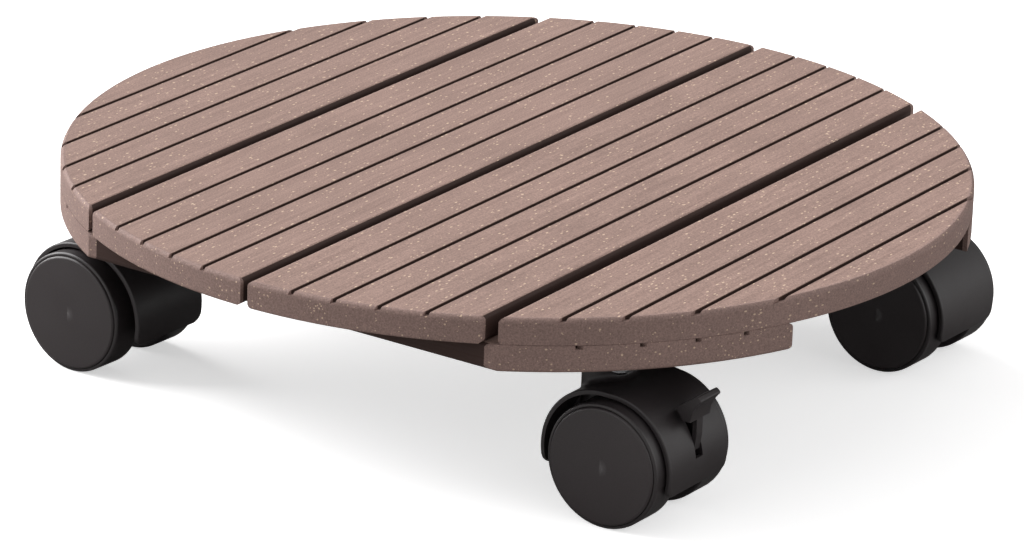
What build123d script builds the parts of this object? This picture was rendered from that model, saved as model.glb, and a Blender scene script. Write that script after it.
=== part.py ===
from build123d import *
import os
from math import sqrt

os.makedirs("parts", exist_ok=True)

# Round plant caddy: a slatted deck on two battens, carried by four twin-wheel
# swivel casters. Millimetres, floor at z = 0, deck boards along X.

# ---- deck ----
deck_d = 295.0
deck_r = deck_d / 2
caddy_h = 69.0
board_w = 72.4
board_t = 8.6
board_edge_r = 1.6
rim_round = 1.5
groove_w = 1.7
groove_depth = 1.2
groove_pitch = 13.9
groove_count = 4
board_y = {"deck_board_1": 112.9, "deck_board_2": 37.6, "deck_board_3": -37.5, "deck_board_4": -114.1}
batten_x = {"batten_left": -89.8, "batten_right": 89.8}

deck_under = caddy_h - board_t
batten_under = deck_under - board_t

# ---- casters ----
swivel_x = 82.5
swivel_y = 90.0
trail = 12.3
wheel_r = 20.0
wheel_out = 20.0
wheel_in = 8.6
cover_crest = 21.3
cover_edge = 20.7
cover_ease = 0.8
cover_r = 18.8
recess_r = 19.0
recess_x = 18.6
rim_in_r = 17.0
web_x = 16.2
hub_r = 5.6
hub_in = 4.5
axle_r = 2.5
axle_half = 18.2
run_gap = 0.06

plate_size = 32.0
plate_t = 2.2
plate_corner = 4.0
plate_hole_pitch = 23.0
plate_hole_r = 1.8
pin_r = 4.0
pin_collar_r = 6.2
pin_collar_t = 1.1
pin_foot = 26.4
ring_groove_r = 3.3
ring_r = 5.3
ring_z = 27.65
ring_t = 0.8

hood_r = 22.2
hood_wall = 1.5
hood_half = 15.8
hood_lead = 3.4
skirt_z = 13.2
skirt_corner = 3.5
lip_round = 0.6
neck_round = 2.0
cheek_half = 4.0
neck_r = 8.0
neck_foot = 24.5
face_gap = 0.3
pocket_r = 5.9

# ---- brake, as (behind, above) the wheel centre ----
pivot_at = (11.0, 9.0)
pivot_r = 1.2
shoe_at = (6.9, 12.0)
shoe_r = 1.4
shoe_half = 11.5
strip_foot = (20.2, 5.0)
strip_knee = (20.9, 10.0)
strip_head = (20.8, 17.0)
strip_w = 3.2
strip_t = 1.5
pad_heel = (16.2, 18.9)
pad_top = (23.7, 24.2)
pad_tip = (25.4, 22.8)
pad_flank = (22.6, 19.1)
pad_root = (21.6, 15.2)
pad_toe = (18.9, 15.2)
pad_corner = 0.7
pad_half = 5.4
pad_round = 0.6
slot_half = 1.9
slot_low = 2.6
slot_high = 11.2

# ---- screws ----
shank_r = 1.6
tip_len = 2.6
deck_screw_len = 13.5
deck_head_r = 3.5
deck_head_t = 2.1
plate_screw_reach = 8.8
plate_head_r = 3.2
plate_head_t = 1.8

wheel_y = -trail
wheel_z = wheel_r
plate_z = batten_under - plate_t
neck_top = plate_z - pin_collar_t - face_gap
axle_line = Axis((0, wheel_y, wheel_z), (1, 0, 0))
side_plane = Plane((0, wheel_y, wheel_z), x_dir=(1, 0, 0), z_dir=(0, -1, 0))


def behind(point):
    """Give (y, z) for a point stated as (behind, above) the wheel centre."""
    return (wheel_y - point[0], wheel_z + point[1])


def disc_blank(z_low, z_high, round_top, round_low):
    """Round blank the slats are trimmed to: a plain wall whose rounded ends curve in past the faces."""
    over = 0.15
    foot = (deck_r - round_low, z_low - over)
    head = (deck_r - round_top, z_high + over)
    with BuildPart() as blank:
        with BuildSketch(Plane.XZ):
            with BuildLine():
                Polyline((0, z_low - 2), (foot[0], z_low - 2), foot)
                RadiusArc(foot, (deck_r, z_low + round_low), -1.15 * round_low)
                if round_top:
                    Line((deck_r, z_low + round_low), (deck_r, z_high - round_top))
                    RadiusArc((deck_r, z_high - round_top), head, -1.15 * round_top)
                else:
                    Line((deck_r, z_low + round_low), head)
                Polyline(head, (head[0], z_high + 2), (0, z_high + 2), (0, z_low - 2))
            make_face()
        revolve(axis=Axis.Z)
    return blank.part


def slat(plane, centre, z_top, blank):
    """One grooved board of the shared profile, trimmed to the round blank."""
    half_span = (groove_count - 1) / 2
    grooves = [(centre + (i - half_span) * groove_pitch, z_top) for i in range(groove_count)]
    with BuildPart() as board:
        with BuildSketch(plane) as profile:
            with Locations((centre, z_top - board_t / 2)):
                Rectangle(board_w, board_t)
            fillet(profile.vertices(), board_edge_r)
            with Locations(*grooves):
                Rectangle(groove_w, 2 * groove_depth, mode=Mode.SUBTRACT)
        extrude(amount=deck_r + 5, both=True)
        add(blank, mode=Mode.INTERSECT)
    return board.part


def turned(points):
    """Solid of revolution about Z from (radius, z) points."""
    with BuildPart() as body:
        with BuildSketch(Plane.XZ):
            with BuildLine():
                Polyline(*points, close=True)
            make_face()
        revolve(axis=Axis.Z)
    return body.part


def cross_drive(body, z_open, depth, reach):
    """Cut a cross recess upward into a screw head."""
    with BuildPart() as screw:
        add(body)
        with BuildSketch(Plane.XY.offset(z_open)):
            Rectangle(2 * reach, 0.9)
            Rectangle(0.9, 2 * reach)
        extrude(amount=depth, mode=Mode.SUBTRACT)
    return screw.part


# ---- screw shapes ----
deck_screw_blank = turned([
    (0, batten_under),
    (deck_head_r, batten_under),
    (shank_r, batten_under + deck_head_t),
    (shank_r, batten_under + deck_screw_len - tip_len),
    (0, batten_under + deck_screw_len),
])
deck_screw = cross_drive(deck_screw_blank, batten_under, 1.3, 1.7)

plate_screw_blank = turned([
    (0, plate_z - plate_head_t),
    (plate_head_r - 0.9, plate_z - plate_head_t),
    (plate_head_r, plate_z - 0.7),
    (plate_head_r, plate_z),
    (shank_r, plate_z),
    (shank_r, batten_under + plate_screw_reach - 2 - tip_len),
    (0, batten_under + plate_screw_reach - 2),
])
plate_screw = cross_drive(plate_screw_blank, plate_z - plate_head_t, 1.1, 1.6)

inner_holes = [(sx * x, sy * 37.5) for sx in (-1, 1) for sy in (-1, 1) for x in (72.0, 108.0)]
outer_holes = [(sx * x, sy * y) for sx in (-1, 1) for sy in (-1, 1) for x, y in ((60.0, 101.0), (109.0, 86.0))]
deck_holes = inner_holes + outer_holes
plate_holes = [
    (sx * swivel_x + i * plate_hole_pitch / 2, sy * swivel_y + j * plate_hole_pitch / 2)
    for sx in (-1, 1) for sy in (-1, 1) for i in (-1, 1) for j in (-1, 1)
]

# ---- deck boards ----
deck_blank = disc_blank(deck_under, caddy_h, rim_round, 0.5)
for name, y_mid in board_y.items():
    with BuildPart() as deck_board:
        add(slat(Plane.YZ, y_mid, caddy_h, deck_blank))
        with Locations(*[(x, y, 0) for x, y in deck_holes]):
            add(deck_screw_blank, mode=Mode.SUBTRACT)
    deck_board.part.label = name
    export_step(deck_board.part, f"parts/{name}.step")

# ---- battens ----
batten_blank = disc_blank(batten_under, deck_under, 0.0, 1.0)
for name, x_mid in batten_x.items():
    with BuildPart() as batten:
        add(slat(Plane.XZ, x_mid, deck_under, batten_blank))
        with Locations(*[(x, y, 0) for x, y in deck_holes]):
            add(deck_screw_blank, mode=Mode.SUBTRACT)
        with Locations(*[(x, y, 0) for x, y in plate_holes]):
            add(plate_screw_blank, mode=Mode.SUBTRACT)
    batten.part.label = name
    export_step(batten.part, f"parts/{name}.step")

with BuildPart() as deck_screws:
    with Locations(*[(x, y, 0) for x, y in deck_holes]):
        add(deck_screw)
deck_screws.part.label = "deck_screws"
export_step(deck_screws.part, "parts/deck_screws.step")


# ---- caster pieces, in the caster's own frame: swivel axis on Z, axle along X, wheels behind (-Y) ----
with BuildPart() as plate:
    with BuildSketch(Plane.XY.offset(plate_z)):
        RectangleRounded(plate_size, plate_size, plate_corner)
        Circle(pin_r, mode=Mode.SUBTRACT)
        with GridLocations(plate_hole_pitch, plate_hole_pitch, 2, 2):
            Circle(plate_hole_r, mode=Mode.SUBTRACT)
    extrude(amount=plate_t)
    fillet(plate.faces().sort_by(Axis.Z)[0].outer_wire().edges(), 0.5)

with BuildPart() as plate_screws:
    with GridLocations(plate_hole_pitch, plate_hole_pitch, 2, 2):
        add(plate_screw)

kingpin = turned([
    (0, pin_foot),
    (pin_r - 0.8, pin_foot),
    (pin_r, pin_foot + 0.8),
    (pin_r, ring_z),
    (ring_groove_r, ring_z),
    (ring_groove_r, ring_z + ring_t),
    (pin_r, ring_z + ring_t),
    (pin_r, plate_z - pin_collar_t),
    (pin_collar_r, plate_z - pin_collar_t),
    (pin_collar_r, plate_z),
    (pin_r, plate_z),
    (pin_r, batten_under),
    (0, batten_under),
])

with BuildPart() as snap_ring:
    with BuildSketch(Plane.XY.offset(ring_z)):
        Circle(ring_r)
        Circle(ring_groove_r, mode=Mode.SUBTRACT)
        with Locations((0, ring_r / 2 + 1)):
            Rectangle(4.0, ring_r + 2, mode=Mode.SUBTRACT)
    extrude(amount=ring_t)

with BuildPart() as axle:
    with BuildSketch(Plane.YZ.offset(-axle_half)):
        with Locations((wheel_y, wheel_z)):
            Circle(axle_r)
    extrude(amount=2 * axle_half)
    chamfer(axle.edges().filter_by(GeomType.CIRCLE), 0.5)


def build_wheel():
    """Wheel on the +X side: tread ring, web and hub in one moulding."""
    with BuildPart() as wheel:
        with BuildSketch(side_plane) as section:
            with BuildLine():
                Polyline(
                    (hub_in, axle_r + run_gap),
                    (recess_x, axle_r + run_gap),
                    (recess_x, recess_r),
                    (wheel_out, recess_r),
                    (wheel_out, wheel_r),
                    (wheel_in, wheel_r),
                    (wheel_in, rim_in_r),
                    (web_x, rim_in_r),
                    (web_x, hub_r),
                    (hub_in, hub_r),
                    close=True,
                )
            make_face()
            fillet(section.vertices().group_by(Axis.Y)[-1], 0.75)
        revolve(axis=axle_line)
    return wheel.part


def build_cover():
    """Slightly domed disc that snaps into the wheel's outer face."""
    rise = cover_crest - cover_edge
    foot = cover_r - cover_ease
    dome_r = (foot**2 + rise**2) / (2 * rise)
    crown = (cover_crest - dome_r + sqrt(dome_r**2 - (foot / 2) ** 2), foot / 2)
    with BuildPart() as cover:
        with BuildSketch(side_plane):
            with BuildLine():
                Polyline((cover_crest, 0), (recess_x, 0), (recess_x, cover_r), (cover_edge - cover_ease, cover_r))
                RadiusArc((cover_edge - cover_ease, cover_r), (cover_edge, foot), cover_ease)
                ThreePointArc((cover_edge, foot), crown, (cover_crest, 0))
            make_face()
        revolve(axis=axle_line)
    return cover.part


def arch(radius):
    """Side outline of the hood: a circle about the axle drawn out toward the swivel."""
    with BuildSketch(Plane.YZ) as outline:
        with Locations((wheel_y, wheel_z), (wheel_y + hood_lead, wheel_z)):
            Circle(radius)
        make_hull()
    return outline.sketch


def build_hood(braked):
    """Hooded fork: arch over both wheels, centre web, axle boss and swivel neck."""
    with BuildPart() as hood:
        extrude(arch(hood_r), amount=hood_half, both=True)
        extrude(arch(hood_r - hood_wall), amount=2 * hood_half, both=True, mode=Mode.SUBTRACT)
        extrude(arch(hood_r - hood_wall / 2), amount=cheek_half, both=True)
        with BuildSketch(Plane.XZ):
            with Locations((0, skirt_z + hood_r)):
                RectangleRounded(2 * hood_half, 2 * hood_r, skirt_corner)
        extrude(amount=3 * hood_r, both=True, mode=Mode.INTERSECT)
        fillet(hood.edges().filter_by(GeomType.CIRCLE).group_by(SortBy.RADIUS)[-1], lip_round)
        with BuildSketch(Plane.XY.offset(neck_foot)):
            Circle(neck_r)
        extrude(amount=neck_top - neck_foot)
        fillet(hood.edges().filter_by(GeomType.BSPLINE).sort_by(Axis.Z)[-1], neck_round)
        with BuildSketch(Plane.XY.offset(skirt_z - 8)):
            Circle(pocket_r)
        extrude(amount=ring_z + ring_t + face_gap - skirt_z + 8, mode=Mode.SUBTRACT)
        with BuildSketch(Plane.XY.offset(skirt_z)):
            Circle(pin_r + run_gap)
        extrude(amount=60, mode=Mode.SUBTRACT)
        with BuildSketch(Plane.YZ):
            with Locations((wheel_y, wheel_z)):
                Circle(axle_r)
        extrude(amount=2 * cheek_half, both=True, mode=Mode.SUBTRACT)
        if braked:
            with BuildSketch(Plane.YZ):
                with Locations(behind((21.5, (slot_low + slot_high) / 2))):
                    Rectangle(9, slot_high - slot_low)
            extrude(amount=slot_half, both=True, mode=Mode.SUBTRACT)
            with BuildSketch(Plane.YZ):
                with Locations(behind((12.2, 7.9))):
                    Rectangle(17.0, 16.8)
            extrude(amount=strip_w / 2 + 0.35, both=True, mode=Mode.SUBTRACT)
            with BuildSketch(Plane.YZ):
                with Locations(behind((7.5, 12.6))):
                    Circle(shoe_r + 1.3)
                with Locations(behind(pivot_at)):
                    Circle(pivot_r)
            extrude(amount=2 * cheek_half, both=True, mode=Mode.SUBTRACT)
    return hood.part


def build_lever():
    """Foot lever: pad outside, strip through the hood's slot, crank and cross shoe inside."""
    with BuildPart() as lever:
        with BuildSketch(Plane.YZ):
            with BuildLine():
                Polyline(behind(pivot_at), behind(strip_foot))
            trace(line_width=strip_w)
            with BuildLine():
                Polyline(behind(shoe_at), behind(pivot_at))
            trace(line_width=strip_w)
            with BuildLine():
                Polyline(behind(strip_foot), behind(strip_knee), behind(strip_head))
            trace(line_width=strip_t)
            with Locations(behind(pivot_at)):
                Circle(2.9)
            with Locations(behind(shoe_at)):
                Circle(shoe_r + 0.6)
        extrude(amount=strip_w / 2, both=True)
        with BuildSketch(Plane.YZ):
            with Locations(behind(shoe_at)):
                Circle(shoe_r)
        extrude(amount=shoe_half, both=True)
        with BuildSketch(Plane.YZ) as flag:
            with BuildLine():
                Polyline(behind(pad_root), behind(pad_toe), behind(pad_heel), behind(pad_top), behind(pad_tip))
                ThreePointArc(behind(pad_tip), behind(pad_flank), behind(pad_root))
            make_face()
            fillet(flag.vertices().sort_by(Axis.Y)[-3:], pad_corner)
        extrude(amount=pad_half, both=True)
        fillet(lever.faces().filter_by(Axis.X).group_by(Axis.X)[0].edges(), pad_round)
        fillet(lever.faces().filter_by(Axis.X).group_by(Axis.X)[-1].edges(), pad_round)
        with BuildSketch(Plane.YZ):
            with Locations(behind(pivot_at)):
                Circle(pivot_r + run_gap)
        extrude(amount=strip_w, both=True, mode=Mode.SUBTRACT)
    return lever.part


with BuildPart() as lever_pin:
    with BuildSketch(Plane.YZ.offset(-cheek_half)):
        with Locations(behind(pivot_at)):
            Circle(pivot_r)
    extrude(amount=2 * cheek_half)

wheel_2 = build_wheel()
cover_2 = build_cover()
wheel_1 = mirror(wheel_2, about=Plane.YZ)
cover_1 = mirror(cover_2, about=Plane.YZ)
plain_hood = build_hood(braked=False)
brake_hood = build_hood(braked=True)
brake_lever = build_lever()

# corner: (x side, y side, rest angle of the caster about Z, braked)
corners = {
    "front_left": (-1, -1, -1.0, True),
    "front_right": (1, -1, -2.0, False),
    "rear_left": (-1, 1, 177.0, False),
    "rear_right": (1, 1, 183.0, True),
}

for corner, (side_x, side_y, turn, braked) in corners.items():
    fixed = Location((side_x * swivel_x, side_y * swivel_y, 0))
    swung = Location((side_x * swivel_x, side_y * swivel_y, 0), (0, 0, turn))
    pieces = {
        "plate": (fixed, plate.part),
        "plate_screws": (fixed, plate_screws.part),
        "kingpin": (fixed, kingpin),
        "snap_ring": (fixed, snap_ring.part),
        "hood": (swung, brake_hood if braked else plain_hood),
        "axle": (swung, axle.part),
        "wheel_1": (swung, wheel_1),
        "wheel_2": (swung, wheel_2),
        "wheel_cover_1": (swung, cover_1),
        "wheel_cover_2": (swung, cover_2),
    }
    if braked:
        pieces["brake_lever"] = (swung, brake_lever)
        pieces["lever_pin"] = (swung, lever_pin.part)
    for piece, (place, shape) in pieces.items():
        placed = place * shape
        placed.label = f"{corner}_{piece}"
        export_step(placed, f"parts/{corner}_{piece}.step")
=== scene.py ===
"""Round plant caddy: finishes, floor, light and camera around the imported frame."""

import logging
import math
from dataclasses import dataclass, field
from enum import Enum
from typing import Any, Optional

import bpy
from mathutils import Matrix, Vector

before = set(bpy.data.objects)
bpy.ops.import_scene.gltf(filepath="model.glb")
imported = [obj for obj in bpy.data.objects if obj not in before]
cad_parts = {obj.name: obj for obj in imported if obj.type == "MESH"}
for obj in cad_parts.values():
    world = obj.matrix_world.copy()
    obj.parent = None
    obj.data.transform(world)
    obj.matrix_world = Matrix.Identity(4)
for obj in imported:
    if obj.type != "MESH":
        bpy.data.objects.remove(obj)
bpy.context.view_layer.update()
log = logging.getLogger("plant_caddy")
MM = 0.001
Tree = bpy.types.NodeTree
Socket = bpy.types.NodeSocket


def linear(hex_colour: str, alpha: float = 1.0) -> tuple[float, float, float, float]:
    """Turn an sRGB hex colour into the linear values a shader socket takes.

    Args:
        hex_colour: six hex digits, with or without a leading #.
        alpha: the fourth value.

    Returns:
        Linear red, green, blue and alpha.
    """
    digits = hex_colour.lstrip("#")
    parts = [int(digits[i : i + 2], 16) / 255 for i in (0, 2, 4)]
    bent = [c / 12.92 if c <= 0.04045 else ((c + 0.055) / 1.055) ** 2.4 for c in parts]
    return (bent[0], bent[1], bent[2], alpha)


def feed(tree: Tree, node: bpy.types.Node, inputs: dict[Any, Any]) -> None:
    """Feed a node's inputs: a socket is linked, and anything else is set as a constant.

    Args:
        tree: the node tree.
        node: the node to feed.
        inputs: input name or number to a socket or a constant.
    """
    for key, value in inputs.items():
        if isinstance(value, Socket):
            tree.links.new(value, node.inputs[key])
        else:
            node.inputs[key].default_value = value


def add_node(
    tree: Tree, kind: str, inputs: Optional[dict[Any, Any]] = None, **settings: Any
) -> bpy.types.Node:
    """Add one node to a shader tree.

    Args:
        tree: the node tree.
        kind: the node's type name without its ShaderNode prefix.
        inputs: input name or number to a socket or a constant.
        settings: attributes of the node itself.

    Returns:
        The new node.
    """
    made = tree.nodes.new("ShaderNode" + kind)
    for key, value in settings.items():
        setattr(made, key, value)
    feed(tree, made, inputs or {})
    return made


def remap(tree: Tree, value: Socket, low: float, high: float, to_low: float, to_high: float) -> Socket:
    """Stretch a value from one range onto another, and hold it at the ends.

    Args:
        tree: the node tree.
        value: what to stretch.
        low: the value that becomes to_low.
        high: the value that becomes to_high.
        to_low: start of the new range.
        to_high: end of the new range.

    Returns:
        The stretched value.
    """
    limits = {"Value": value, "From Min": low, "From Max": high, "To Min": to_low, "To Max": to_high}
    return add_node(tree, "MapRange", limits).outputs[0]


def reckon(tree: Tree, operation: str, first: Any, second: Any) -> Socket:
    """Do one sum on two values.

    Args:
        tree: the node tree.
        operation: the sum's name, such as MULTIPLY.
        first: a socket or a number.
        second: a socket or a number.

    Returns:
        The answer.
    """
    return add_node(tree, "Math", {0: first, 1: second}, operation=operation).outputs[0]


def blend(tree: Tree, amount: Any, first: Any, second: Any) -> Socket:
    """Mix two colours.

    Args:
        tree: the node tree.
        amount: how much of the second colour to take, a socket or a number.
        first: a socket or a colour.
        second: a socket or a colour.

    Returns:
        The mixed colour.
    """
    return add_node(tree, "Mix", {0: amount, 6: first, 7: second}, data_type="RGBA").outputs[2]


def shaded(tree: Tree, colour: Any, amount: Socket) -> Socket:
    """Make a colour darker or lighter without changing its hue.

    Args:
        tree: the node tree.
        colour: a socket, or red, green and blue.
        amount: what to multiply it by.

    Returns:
        The scaled colour.
    """
    return add_node(tree, "VectorMath", {0: colour, "Scale": amount}, operation="SCALE").outputs[0]


def noise(tree: Tree, place: Socket, scale: float, detail: float, roughness: float = 0.5) -> Socket:
    """Make a cloudy pattern.

    Args:
        tree: the node tree.
        place: where on the object each point lies.
        scale: clouds for each metre.
        detail: how many finer layers lie on top.
        roughness: how strong the finer layers are.

    Returns:
        The pattern, about 0.3 to 0.7.
    """
    settings = {"Vector": place, "Scale": scale, "Detail": detail, "Roughness": roughness}
    return add_node(tree, "TexNoise", settings).outputs["Fac"]


def bumped(tree: Tree, height: Socket, strength: float, depth_mm: float) -> Socket:
    """Tilt the surface by a fine relief.

    Args:
        tree: the node tree.
        height: the relief.
        strength: how much of it shows.
        depth_mm: how deep it is.

    Returns:
        The tilted normal.
    """
    settings = {"Height": height, "Strength": strength, "Distance": depth_mm * MM}
    return add_node(tree, "Bump", settings).outputs[0]


def blank_material(name: str) -> tuple[bpy.types.Material, Tree, bpy.types.Node]:
    """Start a material that holds only a Principled shader wired to its output.

    Args:
        name: the material's name.

    Returns:
        The material, its tree and its Principled node.
    """
    material = bpy.data.materials.new(name)
    material.use_nodes = True
    tree = material.node_tree
    tree.nodes.clear()
    shader = add_node(tree, "BsdfPrincipled")
    add_node(tree, "OutputMaterial", {"Surface": shader.outputs["BSDF"]})
    return material, tree, shader


def coat(names: list[str], material: bpy.types.Material) -> None:
    """Give frame nodes a material and log which material each one takes.

    Args:
        names: the nodes' names.
        material: what they are made of.
    """
    for name in names:
        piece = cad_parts[name]
        piece.data.materials.clear()
        piece.data.materials.append(material)
        log.info("%s: %s", name, material.name)


class Grain(Enum):
    """Which way a board was extruded."""

    ALONG_X = (1.0, 0.0)
    ALONG_Y = (0.0, 1.0)

    def stretch(self, along: float, across: float) -> tuple[float, float, float]:
        """Lay a pattern's scale along the board.

        Args:
            along: scale along the board.
            across: scale across it and through its thickness.

        Returns:
            The scale on X, Y and Z.
        """
        return (along, across, across) if self is Grain.ALONG_X else (across, along, across)


@dataclass(frozen=True)
class CompositeBoard:
    """Extruded wood-plastic composite, wood flour bound in polymer, wire-brushed on its top.

    The brush leaves fine dull lines along the board and lays bare pale wood flakes. The grooves,
    gaps and underside keep the extruder's skin, which is smoother and darker; their colour is also
    made much darker than the skin itself, as painted shade for the shadow in the grooves, between
    the boards and under the deck. The trimmed rim is a plain milled cut that shows more flakes and
    no lines.
    """

    body: str = "#8A7168"
    light: str = "#9A8177"
    dark: str = "#745D55"
    flake: str = "#D0B69E"
    skin_and_shade: str = "#3B2924"
    # Skin colour: the extruder's darker skin, painted much darker still as shade in the grooves, gaps and
    # underside.
    cut: str = "#856E67"
    line_across_mm: float = 0.9
    line_along_mm: float = 26.0
    flake_mm: float = 1.1
    flake_slimness: float = 0.45
    grit_mm: float = 0.55
    cloud_scale: float = 28.0
    # Depth below the top face where the skin colour and its painted shade begin.
    skin_and_shade_depth_mm: float = 0.2
    cut_width_mm: float = 1.6
    relief_mm: float = 0.12

    def brush_lines(self, tree: Tree, place: Socket, grain: Grain, shift: float) -> Socket:
        """Draw the brush's lines: noise that is long along the board and narrow across it.

        Args:
            tree: the node tree.
            place: where on the object each point lies.
            grain: the way the board was extruded.
            shift: moves the pattern.

        Returns:
            The lines' pattern.
        """
        scale = grain.stretch(1 / (self.line_along_mm * MM), 1 / (self.line_across_mm * MM))
        drawn = {"Vector": place, "Location": (shift, 1.7 * shift, 0.0), "Scale": scale}
        return noise(tree, add_node(tree, "Mapping", drawn).outputs[0], 1.0, 3.0, 0.65)

    def flakes(self, tree: Tree, place: Socket, grain: Grain, shift: float) -> Socket:
        """Scatter wood flakes: small ovals round scattered points, each with its own size.

        Args:
            tree: the node tree.
            place: where on the object each point lies.
            grain: the way the board was extruded.
            shift: moves the pattern.

        Returns:
            How much flake shows at each point.
        """
        cell = self.flake_mm * MM
        scale = grain.stretch(self.flake_slimness / cell, 1 / cell)
        laid = {"Vector": place, "Location": (3 * shift, shift, shift), "Scale": scale}
        spots = {"Vector": add_node(tree, "Mapping", laid).outputs[0], "Scale": 1.0, "Randomness": 1.0}
        chips = add_node(tree, "TexVoronoi", spots)
        lot = add_node(tree, "SeparateColor", {0: chips.outputs["Color"]}).outputs[0]
        reach = remap(tree, lot, 0.30, 1.0, 0.0, 0.32)
        gap = reckon(tree, "SUBTRACT", reach, chips.outputs["Distance"])
        return remap(tree, gap, 0.0, 0.08, 0.0, 0.75)

    def cut_and_shaded_skin(self, tree: Tree, place: Socket, top_mm: float, rim_mm: float) -> tuple[Socket, Socket]:
        """Tell the milled rim, and the extruder's skin that takes painted shade, from the brushed top.

        Args:
            tree: the node tree.
            place: where on the object each point lies.
            top_mm: height of the board's top face.
            rim_mm: radius of the round deck.

        Returns:
            One on the rim, and one on the grooves, gaps and underside, where the painted shade goes.
        """
        split = add_node(tree, "SeparateXYZ", {"Vector": place})
        flat = add_node(tree, "CombineXYZ", {"X": split.outputs["X"], "Y": split.outputs["Y"]}).outputs[0]
        radius = add_node(tree, "VectorMath", {0: flat}, operation="LENGTH").outputs["Value"]
        # Below the top face lie the grooves, the gaps between boards and the underside, which take painted
        # shade.
        below = reckon(tree, "LESS_THAN", split.outputs["Z"], (top_mm - self.skin_and_shade_depth_mm) * MM)
        inside = reckon(tree, "LESS_THAN", radius, (rim_mm - self.cut_width_mm) * MM)
        return reckon(tree, "SUBTRACT", 1.0, inside), reckon(tree, "MULTIPLY", below, inside)

    def material(
        self, name: str, grain: Grain, top_mm: float, rim_mm: float, shift: float
    ) -> bpy.types.Material:
        """Make the finish for one board.

        Args:
            name: the material's name.
            grain: the way the board was extruded.
            top_mm: height of the board's top face.
            rim_mm: radius of the round deck.
            shift: moves the pattern, so that no two boards match.

        Returns:
            The material.
        """
        material, tree, shader = blank_material(name)
        place = add_node(tree, "TexCoord").outputs["Object"]
        moved = add_node(tree, "Mapping", {"Vector": place, "Location": (shift, shift, shift)}).outputs[0]
        lines = self.brush_lines(tree, place, grain, shift)
        grit = noise(tree, moved, 1 / (self.grit_mm * MM), 2.0, 0.7)
        cloud = noise(tree, moved, self.cloud_scale, 3.0)
        rim, skin_and_shade = self.cut_and_shaded_skin(tree, place, top_mm, rim_mm)

        # Brushed top: light and dark lines, softened towards the board's own colour.
        lit = remap(tree, lines, 0.30, 0.70, 0.0, 1.0)
        brushed = blend(tree, lit, linear(self.dark), linear(self.light))
        softened = blend(tree, 0.45, brushed, linear(self.body))
        milled = blend(tree, rim, softened, linear(self.cut))

        # Grit gives the sandy speckle, and slow clouds keep a board from looking painted.
        speck = remap(tree, grit, 0.25, 0.75, 0.66, 1.30)
        drift = remap(tree, cloud, 0.3, 0.7, 0.94, 1.06)
        toned = shaded(tree, milled, reckon(tree, "MULTIPLY", speck, drift))
        flaked = blend(tree, self.flakes(tree, place, grain, shift), toned, linear(self.flake))

        combing = reckon(tree, "MULTIPLY", lines, 0.6)
        relief = reckon(tree, "ADD", combing, grit)
        # The grooves, gaps and underside take the skin colour, which is mostly painted shade.
        finish = {
            "Base Color": blend(tree, skin_and_shade, flaked, linear(self.skin_and_shade)),
            "Roughness": remap(tree, lines, 0.3, 0.7, 0.62, 0.82),
            "IOR": 1.46,
            "Specular IOR Level": 0.35,
            "Normal": bumped(tree, relief, 0.5, self.relief_mm),
        }
        feed(tree, shader, finish)
        return material


@dataclass(frozen=True)
class MouldedNylon:
    """Injection-moulded black nylon from a spark-eroded mould.

    The fine even grain of the mould breaks highlights into a soft satin sheen, and handling leaves
    it slightly shinier in broad patches. The wheels are shinier than the hood.
    """

    colour: str
    roughness: float
    grain_mm: float = 0.45
    relief_mm: float = 0.02
    patch_scale: float = 90.0

    def material(self, name: str) -> bpy.types.Material:
        """Make the finish.

        Args:
            name: the material's name.

        Returns:
            The material.
        """
        material, tree, shader = blank_material(name)
        place = add_node(tree, "TexCoord").outputs["Object"]
        grain = noise(tree, place, 1 / (self.grain_mm * MM), 2.0, 0.6)
        patch = noise(tree, place, self.patch_scale, 2.0)
        tint = remap(tree, grain, 0.3, 0.7, 0.88, 1.12)
        finish = {
            "Base Color": shaded(tree, linear(self.colour)[:3], tint),
            "Roughness": remap(tree, patch, 0.3, 0.7, self.roughness - 0.05, self.roughness + 0.07),
            "IOR": 1.53,
            "Normal": bumped(tree, grain, 0.6, self.relief_mm),
        }
        feed(tree, shader, finish)
        return material


@dataclass(frozen=True)
class PlatedSteel:
    """Zinc-plated mild steel: a cool grey metal whose faint crystals differ in tone and shine."""

    colour: str = "#A9ABAD"
    roughness: float = 0.38
    crystal_mm: float = 1.6

    def material(self, name: str) -> bpy.types.Material:
        """Make the finish.

        Args:
            name: the material's name.

        Returns:
            The material.
        """
        material, tree, shader = blank_material(name)
        place = add_node(tree, "TexCoord").outputs["Object"]
        crystals = add_node(tree, "TexVoronoi", {"Vector": place, "Scale": 1 / (self.crystal_mm * MM)})
        tone = add_node(tree, "SeparateColor", {0: crystals.outputs["Color"]}).outputs[0]
        finish = {
            "Base Color": shaded(tree, linear(self.colour)[:3], remap(tree, tone, 0.0, 1.0, 0.85, 1.05)),
            "Roughness": remap(tree, tone, 0.0, 1.0, self.roughness - 0.08, self.roughness + 0.1),
            "Metallic": 1.0,
        }
        feed(tree, shader, finish)
        return material


@dataclass
class Deck:
    """Four grooved boards across two battens, with their screws."""

    top_mm: float = 69.0
    board_mm: float = 8.6
    radius_mm: float = 147.5
    boards: tuple[str, ...] = ("deck_board_1", "deck_board_2", "deck_board_3", "deck_board_4")
    battens: tuple[str, ...] = ("batten_left", "batten_right")
    composite: CompositeBoard = field(default_factory=CompositeBoard)

    def dress(self, steel: bpy.types.Material) -> None:
        """Give the boards, battens and screws their finishes.

        Args:
            steel: what the screws are made of.
        """
        batten_top = self.top_mm - self.board_mm
        for number, name in enumerate(self.boards):
            made = self.composite.material(
                f"brushed_composite_{number + 1}",
                Grain.ALONG_X,
                self.top_mm,
                self.radius_mm,
                0.37 * (number + 1),
            )
            coat([name], made)
        for number, name in enumerate(self.battens):
            made = self.composite.material(
                f"batten_composite_{number + 1}",
                Grain.ALONG_Y,
                batten_top,
                self.radius_mm,
                2.1 + 0.41 * number,
            )
            coat([name], made)
        coat(["deck_screws"], steel)


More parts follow.
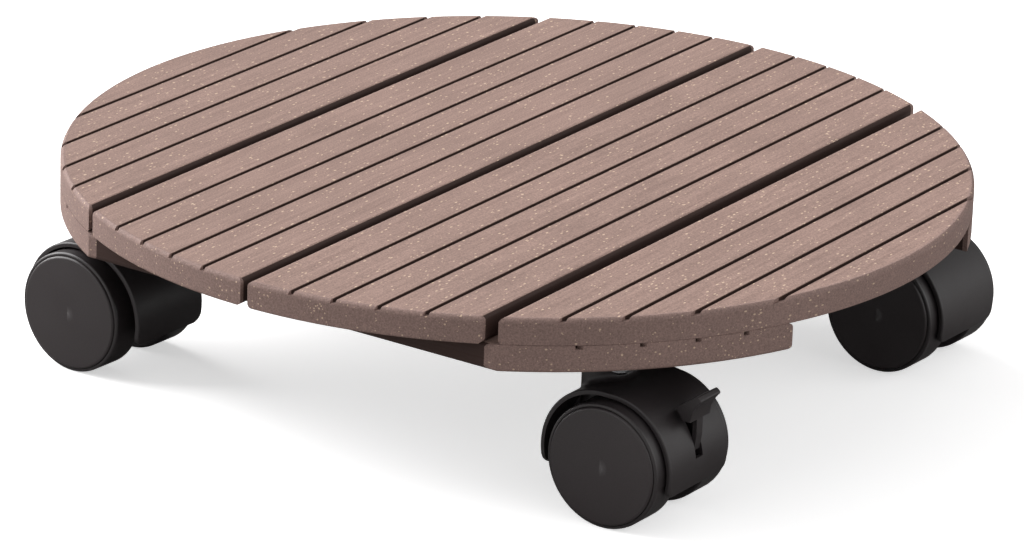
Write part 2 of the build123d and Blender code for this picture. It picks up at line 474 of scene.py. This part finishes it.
@dataclass
class CasterFinishes:
    """What the casters are made of: each kind of piece has its own material slot."""

    hood: MouldedNylon = MouldedNylon("#2A2526", 0.42)
    wheel: MouldedNylon = MouldedNylon("#2B2627", 0.37)
    cover: MouldedNylon = MouldedNylon("#302A2B", 0.40)
    zinc: PlatedSteel = PlatedSteel()

    def materials(self, steel: bpy.types.Material) -> dict[str, bpy.types.Material]:
        """Make the casters' materials.

        Args:
            steel: what the pins and screws are made of.

        Returns:
            Material slot to material.
        """
        return {
            "zinc": self.zinc.material("zinc_plated_steel"),
            "steel": steel,
            "hood_plastic": self.hood.material("moulded_nylon_hood"),
            "wheel_plastic": self.wheel.material("moulded_nylon_wheel"),
            "cover_plastic": self.cover.material("moulded_nylon_cover"),
            "lever_plastic": self.hood.material("moulded_nylon_lever"),
        }


@dataclass
class Caster:
    """A twin-wheel swivel caster with a hood, and on some a foot brake lever."""

    corner: str
    braked: bool

    def slots(self) -> dict[str, str]:
        """List the caster's pieces.

        Returns:
            Piece to its material slot.
        """
        pieces = {
            "plate": "zinc",
            "plate_screws": "steel",
            "kingpin": "steel",
            "snap_ring": "steel",
            "axle": "steel",
            "hood": "hood_plastic",
            "wheel_1": "wheel_plastic",
            "wheel_2": "wheel_plastic",
            "wheel_cover_1": "cover_plastic",
            "wheel_cover_2": "cover_plastic",
        }
        if self.braked:
            pieces |= {"brake_lever": "lever_plastic", "lever_pin": "steel"}
        return pieces

    def dress(self, materials: dict[str, bpy.types.Material]) -> None:
        """Give every node of the caster its finish.

        Args:
            materials: material slot to material.
        """
        for piece, slot in self.slots().items():
            coat([f"{self.corner}_{piece}"], materials[slot])


@dataclass
class Studio:
    """Pale paper floor, soft light and the camera."""

    azimuth: float = -56.51
    elevation: float = 20.545
    roll: float = 1.933
    distance: float = 1.732
    aim_right: float = -0.00193
    aim_up: float = -0.0383
    aim_height: float = 0.069
    lens: float = 188.3
    floor_reach: float = 12.0
    paper_seen: str = "#FBFAFA"
    paper_lit: str = "#8F8D8C"
    paper_glow: float = 0.55
    sky_strength: float = 0.42

    def paper(self) -> bpy.types.Material:
        """Make white paper that looks bright to the camera and throws little light back up.

        From below it can be seen through, so that the underside of the object is not hidden.

        Returns:
            The material.
        """
        material, tree, shader = blank_material("pale_paper")
        seen = add_node(tree, "LightPath").outputs["Is Camera Ray"]
        finish = {
            "Base Color": blend(tree, seen, linear(self.paper_lit), linear(self.paper_seen)),
            "Emission Color": linear("#FFFFFF"),
            "Emission Strength": reckon(tree, "MULTIPLY", seen, self.paper_glow),
            "Roughness": 0.9,
        }
        feed(tree, shader, finish)
        under = add_node(tree, "NewGeometry").outputs["Backfacing"]
        clear = add_node(tree, "BsdfTransparent").outputs[0]
        sheet = add_node(tree, "MixShader", {0: under, 1: shader.outputs["BSDF"], 2: clear}).outputs[0]
        feed(tree, tree.nodes["Material Output"], {"Surface": sheet})
        return material

    def floor(self) -> bpy.types.Object:
        """Lay one flat square sheet under the object, wide enough to fill every view.

        Returns:
            The floor.
        """
        reach = self.floor_reach
        corners = [(-reach, -reach, 0.0), (reach, -reach, 0.0), (reach, reach, 0.0), (-reach, reach, 0.0)]
        mesh = bpy.data.meshes.new("studio_floor")
        mesh.from_pydata(corners, [], [(0, 1, 2, 3)])
        mesh.materials.append(self.paper())
        made = bpy.data.objects.new("studio_floor", mesh)
        bpy.context.scene.collection.objects.link(made)
        return made

    def sun(
        self, name: str, azimuth: float, elevation: float, spread: float, strength: float
    ) -> bpy.types.Object:
        """Hang one broad distant light, which lights the object and the whole floor alike.

        Args:
            name: the light's name.
            azimuth: where it stands, in degrees from the camera's own azimuth.
            elevation: degrees above the horizon.
            spread: how wide it looks, in degrees. A wide one has soft shadows.
            strength: watts for each square metre that faces it.

        Returns:
            The light.
        """
        a, e = math.radians(self.azimuth + azimuth), math.radians(elevation)
        back = Vector((math.sin(a) * math.cos(e), -math.cos(a) * math.cos(e), math.sin(e)))
        data = bpy.data.lights.new(name, "SUN")
        data.angle = math.radians(spread)
        data.energy = strength
        made = bpy.data.objects.new(name, data)
        made.location = back * 2.0
        made.rotation_mode = "QUATERNION"
        made.rotation_quaternion = back.to_track_quat("Z", "Y")
        bpy.context.scene.collection.objects.link(made)
        return made

    def lights(self) -> None:
        """Set a broad key behind the left shoulder, two faint fills and a pale sky."""
        self.sun("left_key", -118, 34, 60, 5.3)
        self.sun("left_fill", -60, 24, 70, 0.5)
        self.sun("right_fill", 75, 22, 60, 1.1)
        world = bpy.data.worlds.new("pale_sky")
        world.use_nodes = True
        tree = world.node_tree
        tree.nodes.clear()
        sky = add_node(tree, "Background", {"Color": linear("#FFFFFF"), "Strength": self.sky_strength})
        add_node(tree, "OutputWorld", {"Surface": sky.outputs[0]})
        bpy.context.scene.world = world

    def camera(self) -> bpy.types.Object:
        """Stand the camera where it sees the deck from above one corner.

        Returns:
            The camera.
        """
        a, e, r = (math.radians(v) for v in (self.azimuth, self.elevation, self.roll))
        back = Vector((math.sin(a) * math.cos(e), -math.cos(a) * math.cos(e), math.sin(e)))
        right = Vector((0, 0, 1)).cross(back).normalized()
        up = back.cross(right)
        turned_right = right * math.cos(r) + up * math.sin(r)
        turned_up = up * math.cos(r) - right * math.sin(r)
        data = bpy.data.cameras.new("camera")
        data.sensor_width = 36.0
        data.lens = self.lens
        data.clip_start = 0.05
        data.clip_end = 30.0
        made = bpy.data.objects.new("camera", data)
        spot = (
            Vector((0, 0, self.aim_height))
            + back * self.distance
            + turned_right * self.aim_right
            + turned_up * self.aim_up
        )
        turn = Matrix((turned_right, turned_up, back)).transposed().to_4x4()
        made.matrix_world = Matrix.Translation(spot) @ turn
        bpy.context.scene.collection.objects.link(made)
        bpy.context.scene.camera = made
        return made


def main() -> None:
    """Dress the frame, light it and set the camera."""
    logging.basicConfig(level=logging.INFO, format="%(message)s")
    bpy.context.scene.view_settings.view_transform = "Standard"
    steel = PlatedSteel("#9C9D9F", 0.32, 1.1).material("turned_steel")
    Deck().dress(steel)
    materials = CasterFinishes().materials(steel)
    for caster in (
        Caster("front_left", True),
        Caster("front_right", False),
        Caster("rear_left", False),
        Caster("rear_right", True),
    ):
        caster.dress(materials)
    studio = Studio()
    studio.floor()
    studio.lights()
    studio.camera()


if __name__ == "__main__":
    main()
